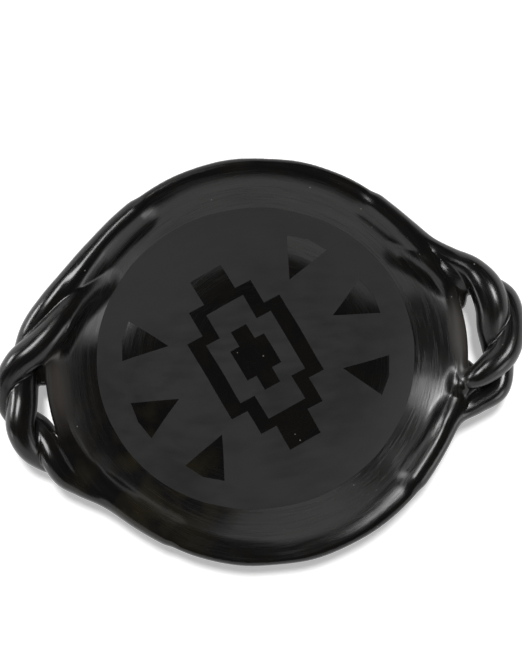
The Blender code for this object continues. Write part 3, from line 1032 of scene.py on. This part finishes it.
def burnished_clay(name, strokes_along):
    """Clay smoked black in the firing, its slip rubbed with a smooth stone.

    The eye sees soft stone strokes in the highlights, a faint waviness, thin brown where
    the smoke was weaker, and a few pale grains.
    """
    colours = bpy.context.scene.clay_colours
    material, tree, shader = new_material(name)
    places = add_node(tree, "ShaderNodeTexCoord", output="Object")
    if strokes_along:
        strand = add_node(tree, "ShaderNodeAttribute", output="Vector",
                          attribute_name="strand")
        run = add_node(tree, "ShaderNodeVectorMath", [strand, ALONG_THE_STRAND], "Vector",
                       operation="MULTIPLY")
    else:
        run = round_the_bowl(tree, places)
    scratches = add_node(tree, "ShaderNodeTexNoise", {"Vector": run, "Scale": SCRATCHES}, "Fac")
    strokes = add_node(tree, "ShaderNodeTexNoise", {"Vector": run, "Scale": STROKES}, "Fac")
    cloud = add_node(tree, "ShaderNodeTexNoise", {
        "Vector": places, "Scale": SMOKE_CLOUDS, "Detail": 3.0}, "Fac")
    wave = add_node(tree, "ShaderNodeTexNoise", {
        "Vector": places, "Scale": WALL_WAVES, "Detail": 1.0}, "Fac")

    patch = add_node(tree, "ShaderNodeVectorMath", [places, BROWN_PATCH], "Value",
                     operation="DISTANCE")
    near = add_node(tree, "ShaderNodeMapRange", [patch, *BROWN_FADE], "Result")
    cloudy = add_node(tree, "ShaderNodeMapRange", [cloud, *SMOKE_EDGE, 0.0, 1.0], "Result")
    brown = add_node(tree, "ShaderNodeMath", [near, cloudy], "Value", operation="MULTIPLY")
    # Patch of rim behind each handle, painted a lighter brown-grey and made rougher
    patchy = lighter_rim_behind_handles(tree, places)
    grain = add_node(tree, "ShaderNodeTexVoronoi", {"Vector": places, "Scale": GRAINS})
    dot = add_node(tree, "ShaderNodeMapRange", [
        grain.outputs["Distance"], *GRAIN_EDGE, 1.0, 0.0], "Result")
    chance = add_node(tree, "ShaderNodeSeparateXYZ", [grain.outputs["Color"]], "X")
    rare = add_node(tree, "ShaderNodeMapRange", [chance, *PALE_GRAINS, 0.0, 1.0], "Result")
    speck = add_node(tree, "ShaderNodeMath", [dot, rare], "Value", operation="MULTIPLY")
    paint = (*colours.black, 1.0)
    for share, over in ((brown, colours.smoke), (patchy, colours.lighter_rim), (speck, colours.speck)):
        paint = add_node(tree, "ShaderNodeMix", {0: share, 6: paint, 7: (*over, 1.0)}, 2,
                         data_type="RGBA")
    tree.links.new(paint, shader.inputs["Base Color"])

    both = add_node(tree, "ShaderNodeMath", [scratches, strokes], "Value", operation="ADD")
    gloss = add_node(tree, "ShaderNodeMapRange", [both, *STONE_SPAN, ROUGH_LOW, ROUGH_HIGH],
                     "Result")
    dulled = add_node(tree, "ShaderNodeMath", [patchy, LIGHTER_RIM_ROUGH, gloss], "Value",
                      operation="MULTIPLY_ADD")
    tree.links.new(dulled, shader.inputs["Roughness"])
    waved = add_node(tree, "ShaderNodeBump", {"Height": wave, "Distance": WAVE_DEPTH}, "Normal")
    stroked = add_node(tree, "ShaderNodeBump", {
        "Height": strokes, "Distance": STROKE_DEPTH, "Normal": waved}, "Normal")
    scratched = add_node(tree, "ShaderNodeBump", {
        "Height": scratches, "Distance": SCRATCH_DEPTH, "Normal": stroked}, "Normal")
    tree.links.new(scratched, shader.inputs["Normal"])
    return material


def matte_slip(name):
    """Slip brushed over the burnished clay, which fires to a dry dark grey.

    The eye sees an even powdery grey, cloudy where the brush laid it thinner, with a
    faint tooth.
    """
    colours = bpy.context.scene.clay_colours
    material, tree, shader = new_material(name)
    places = add_node(tree, "ShaderNodeTexCoord", output="Object")
    brushed_way = add_node(tree, "ShaderNodeMapping", {
        "Vector": places, "Rotation": (0.0, 0.0, math.radians(35.0)),
        "Scale": (0.25, 1.0, 1.0)}, "Vector")
    brushing = add_node(tree, "ShaderNodeTexNoise", {
        "Vector": brushed_way, "Scale": BRUSH_MARKS, "Detail": 4.0}, "Fac")
    cloud = add_node(tree, "ShaderNodeTexNoise", {
        "Vector": places, "Scale": SLIP_CLOUDS, "Detail": 3.0}, "Fac")
    tooth = add_node(tree, "ShaderNodeTexNoise", {"Vector": places, "Scale": TOOTH}, "Fac")
    both = add_node(tree, "ShaderNodeMath", [brushing, cloud], "Value", operation="ADD")
    thin = add_node(tree, "ShaderNodeMapRange", [both, *THIN_SPAN, 0.0, 1.0], "Result")
    paint = add_node(tree, "ShaderNodeMix", {
        0: thin, 6: (*colours.matte, 1.0), 7: (*colours.patchy, 1.0)}, 2, data_type="RGBA")
    rough = add_node(tree, "ShaderNodeMapRange", [both, *SLIP_SPAN, *SLIP_ROUGH], "Result")
    toothed = add_node(tree, "ShaderNodeBump", {"Height": tooth, "Distance": TOOTH_DEPTH},
                       "Normal")
    marked = add_node(tree, "ShaderNodeBump", {
        "Height": brushing, "Distance": BRUSH_DEPTH, "Normal": toothed}, "Normal")
    for socket, name in ((paint, "Base Color"), (rough, "Roughness"), (marked, "Normal")):
        tree.links.new(socket, shader.inputs[name])
    return material


def seen_directly(tree):
    """1 for camera, glossy and transmission rays."""
    path = add_node(tree, "ShaderNodeLightPath")
    first = add_node(tree, "ShaderNodeMath", [
        path.outputs["Is Camera Ray"], path.outputs["Is Glossy Ray"]], "Value",
        operation="MAXIMUM")
    return add_node(tree, "ShaderNodeMath", [first, path.outputs["Is Transmission Ray"]],
                    "Value", operation="MAXIMUM")


def white_paper(name):
    """White paper under and behind the bowl, a little lit from behind for the picture."""
    material, tree, shader = new_material(name)
    shader.inputs["Base Color"].default_value = (*bpy.context.scene.studio_sizes.paper, 1.0)
    shader.inputs["Roughness"].default_value = 0.9
    shader.inputs["Specular IOR Level"].default_value = 0.0
    shader.inputs["Emission Color"].default_value = (1.0, 1.0, 1.0, 1.0)
    glow = add_node(tree, "ShaderNodeMath", [seen_directly(tree), PAPER_GLOW], "Value",
                    operation="MULTIPLY")
    tree.links.new(glow, shader.inputs["Emission Strength"])
    return material


def stage_mesh(name, points, faces, material):
    """A stage piece."""
    mesh = bpy.data.meshes.new(name)
    mesh.from_pydata(points, [], faces)
    mesh.materials.append(material)
    item = bpy.data.objects.new(name, mesh)
    bpy.context.scene.collection.objects.link(item)
    return item


def black_cloth(right, above):
    """Black cloth hung overhead and down some sides, which only reflections see.

    It is a cap of azimuth by elevation about the bowl, whose lower edge follows the
    knots of CLOTH_EDGE. Below it the white room shows in the bowl's wall.
    """
    material, tree, shader = new_material("black studio cloth")
    tree.nodes.remove(shader)
    dim = add_node(tree, "ShaderNodeEmission", {
        "Color": (*bpy.context.scene.studio_sizes.cloth, 1.0)}, "Emission")
    tree.links.new(dim, tree.nodes["Material Output"].inputs["Surface"])
    headings = np.arange(0.0, 360.0, CLOTH_STEP)
    edge = np.interp(headings, *zip(*CLOTH_EDGE))[:, None]
    turn = np.radians(headings)[:, None, None]
    lift = np.radians(edge + (90.0 - edge) * np.linspace(0.0, 1.0, CLOTH_ROWS))[..., None]
    flat = np.cos(lift) * (np.cos(turn) * np.array(right) + np.sin(turn) * np.array(above))
    points = CLOTH_RADIUS * (flat + np.sin(lift) * np.array([0.0, 0.0, 1.0]))
    index = np.arange(len(headings) * CLOTH_ROWS).reshape(-1, CLOTH_ROWS)
    after = np.roll(index, -1, axis=0)
    faces = np.stack([index[:, :-1], after[:, :-1], after[:, 1:], index[:, 1:]], axis=-1)
    item = stage_mesh("black_cloth_tent", points.reshape(-1, 3).tolist(),
                      faces.reshape(-1, 4).tolist(), material)
    item.visible_camera = False
    item.visible_diffuse = False
    item.visible_transmission = False
    item.visible_shadow = False
    return item


def softbox(name, heading, lift, width, height, level, right, above):
    """A softbox that only reflections show: its level is the brightness of its face."""
    middle = Vector((0.0, 0.0, bpy.context.scene.bowl_sizes.height))
    turn, rise = math.radians(heading), math.radians(lift)
    toward = ((right * math.cos(turn) + above * math.sin(turn)) * math.cos(rise)
              + Vector((0.0, 0.0, 1.0)) * math.sin(rise))
    lamp = bpy.data.lights.new(name, "AREA")
    lamp.shape = "RECTANGLE"
    lamp.size = width
    lamp.size_y = height
    lamp.energy = level * math.pi * width * height
    item = bpy.data.objects.new(name, lamp)
    item.matrix_world = (Matrix.Translation(middle + toward * SOFTBOX_DISTANCE)
                         @ toward.to_track_quat("Z", "Y").to_matrix().to_4x4())
    item.visible_camera = False
    item.visible_diffuse = False
    bpy.context.scene.collection.objects.link(item)
    return item


def flagged(item, nodes):
    """Lets a softbox light only some pieces, as flags beside it would."""
    lit = bpy.data.collections.new(f"lit_by_{item.name}")
    for node in nodes:
        lit.objects.link(bpy.data.objects[f"{node}_skin"])
    item.light_linking.receiver_collection = lit


class BOWL_OT_clay_body(bpy.types.Operator):
    """Make the skin of the base dish, the wall coils and the rim coil"""
    bl_idname = "bowl.clay_body"
    bl_label = "Clay body"

    def execute(self, context):
        material = burnished_clay("burnished blackware", strokes_along=False)
        for label, node in enumerate([*DISH_AND_COILS, RIM_NODE], start=1):
            item = clay_piece(f"{node}_skin", node, label)
            item.data.materials.append(material)
        return {"FINISHED"}


class BOWL_OT_rope_handles(bpy.types.Operator):
    """Make the skin of the four handle strands"""
    bl_idname = "bowl.rope_handles"
    bl_label = "Rope handles"

    def execute(self, context):
        material = burnished_clay("burnished rope clay", strokes_along=True)
        for label, node in enumerate(STRANDS, start=len(JOINT_RADII) + 2):
            item = clay_piece(f"{node}_skin", node, label)
            strand_coordinates(item.data, *strand_lines()[node])
            item.data.materials.append(material)
        return {"FINISHED"}


class BOWL_OT_slip_painting(bpy.types.Operator):
    """Lay the matte slip painting on the floor of the bowl"""
    bl_idname = "bowl.slip_painting"
    bl_label = "Slip painting"

    def execute(self, context):
        item = slip_film("slip_painting", context.scene.painting_sizes)
        item.data.materials.append(matte_slip("matte slip"))
        return {"FINISHED"}


class BOWL_OT_studio(bpy.types.Operator):
    """Set the floor, the black cloth, the lamps and the camera"""
    bl_idname = "bowl.studio"
    bl_label = "Studio"

    def execute(self, context):
        scene = context.scene
        studio = scene.studio_sizes
        right = Vector((math.cos(studio.roll), -math.sin(studio.roll), 0.0))
        above = Vector((math.sin(studio.roll), math.cos(studio.roll), 0.0))
        middle = Vector((0.0, 0.0, scene.bowl_sizes.height))
        corners = [(x * FLOOR_HALF, y * FLOOR_HALF, 0.0)
                   for x, y in ((-1, -1), (1, -1), (1, 1), (-1, 1))]
        stage_mesh("studio_floor", corners, [(0, 1, 2, 3)], white_paper("white paper"))
        black_cloth(right, above)

        world = bpy.data.worlds.new("white room")
        scene.world = world
        world.use_nodes = True
        tree = world.node_tree
        level = add_node(tree, "ShaderNodeMapRange", [
            seen_directly(tree), 0.0, 1.0, studio.sky_level, 1.0], "Result")
        backdrop = tree.nodes["Background"]
        backdrop.inputs["Color"].default_value = (1.0, 1.0, 1.0, 1.0)
        tree.links.new(level, backdrop.inputs["Strength"])

        lamp = bpy.data.lights.new("key", "SUN")
        lamp.energy = studio.key_level * math.pi
        lamp.angle = studio.key_angle
        key = bpy.data.objects.new("key", lamp)
        toward = above * math.sin(studio.key_lean) + Vector((0.0, 0.0, math.cos(studio.key_lean)))
        key.matrix_world = toward.to_track_quat("Z", "Y").to_matrix().to_4x4()
        key.visible_glossy = False
        scene.collection.objects.link(key)
        for box in SOFTBOXES:
            softbox(*box, right, above)
        flagged(softbox(*RIM_SOFTBOX, right, above), (DISH_AND_COILS[-1], RIM_NODE, *STRANDS))
        flagged(softbox(*HANDLE_SOFTBOX, right, above),
                ("right_outer_strand", "right_inner_strand"))

        target = middle + (right * PICTURE_SHIFT[0] + above * PICTURE_SHIFT[1]) * studio.pixel
        back = Vector((0.0, 0.0, math.cos(studio.tilt))) + above * math.sin(studio.tilt)
        camera = bpy.data.cameras.new("camera")
        camera.lens = camera.sensor_width * studio.distance / (PICTURE_LONG_SIDE * studio.pixel)
        item = bpy.data.objects.new("camera", camera)
        item.matrix_world = Matrix.Translation(target + back * studio.distance) @ Matrix(
            (right, back.cross(right), back)).transposed().to_4x4()
        scene.collection.objects.link(item)
        scene.camera = item
        scene.view_settings.view_transform = "Standard"
        return {"FINISHED"}


class BOWL_PT_panel(bpy.types.Panel):
    """Lists the steps that dress the bowl"""
    bl_label = "Blackware bowl"
    bl_idname = "BOWL_PT_panel"
    bl_space_type = "VIEW_3D"
    bl_region_type = "UI"
    bl_category = "Bowl"

    def draw(self, context):
        for operator in OPERATORS:
            self.layout.operator(operator.bl_idname)


OPERATORS = (BOWL_OT_clay_body, BOWL_OT_rope_handles, BOWL_OT_slip_painting, BOWL_OT_studio)
GROUPS = {
    "bowl_sizes": BowlSizes,
    "rope_sizes": RopeSizes,
    "painting_sizes": PaintingSizes,
    "clay_colours": ClayColours,
    "studio_sizes": StudioSizes,
}
CLASSES = (*GROUPS.values(), *OPERATORS, BOWL_PT_panel)


def register():
    for item in CLASSES:
        bpy.utils.register_class(item)
    for name, group in GROUPS.items():
        setattr(bpy.types.Scene, name, PointerProperty(type=group))


def unregister():
    for name in GROUPS:
        delattr(bpy.types.Scene, name)
    for item in reversed(CLASSES):
        bpy.utils.unregister_class(item)


def main():
    register()
    bpy.ops.bowl.clay_body()
    bpy.ops.bowl.rope_handles()
    bpy.ops.bowl.slip_painting()
    bpy.ops.bowl.studio()


if __name__ == "__main__":
    main()
